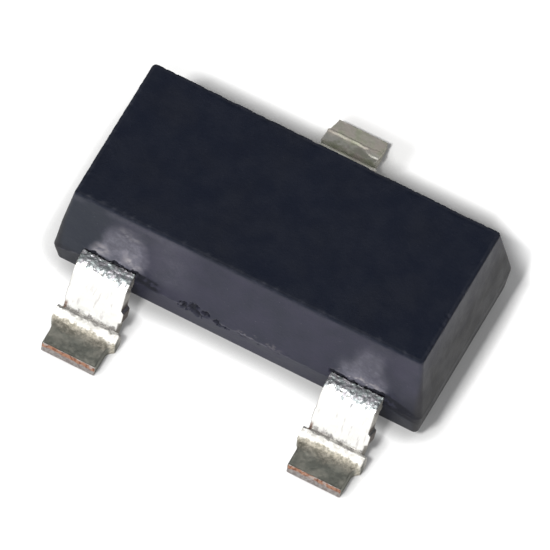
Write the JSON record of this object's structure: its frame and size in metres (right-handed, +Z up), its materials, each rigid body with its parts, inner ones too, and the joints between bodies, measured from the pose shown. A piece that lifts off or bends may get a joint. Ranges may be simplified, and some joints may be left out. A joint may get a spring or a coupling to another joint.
{
  "type": "current regulator diode",
  "caption": "Surface-mount current regulator diode: a black moulded body with drafted sides and tinned gull-wing leads bent down to flat solder feet.",
  "frame": {"origin": "on the surface that the feet stand on, half way between the front toes and the rear toe and between the two front leads", "axes": "+X along the body from the front left lead to the front right lead, +Y from the front leads towards the rear lead, +Z up through the body's flat top"},
  "size_m": [0.0028, 0.0026, 0.0009],
  "materials": {
    "mould_compound": "fine satin moulding compound, blue-black",
    "tinned_lead": "matte tin plate over copper, copper showing at the cut toes",
    "chip_adhesive": "silver-filled adhesive",
    "silicon": "polished silicon with metal pads on top",
    "bond_gold": "drawn gold wire"
  },
  "bodies": {
    "root": {"mould_body": "mould_compound", "anode_lead": "tinned_lead", "cathode_lead": "tinned_lead", "paddle_lead": "tinned_lead", "die_attach": "chip_adhesive", "silicon_die": "silicon", "anode_bond_wire": "bond_gold", "cathode_bond_wire": "bond_gold"}
  },
  "joints": []
}
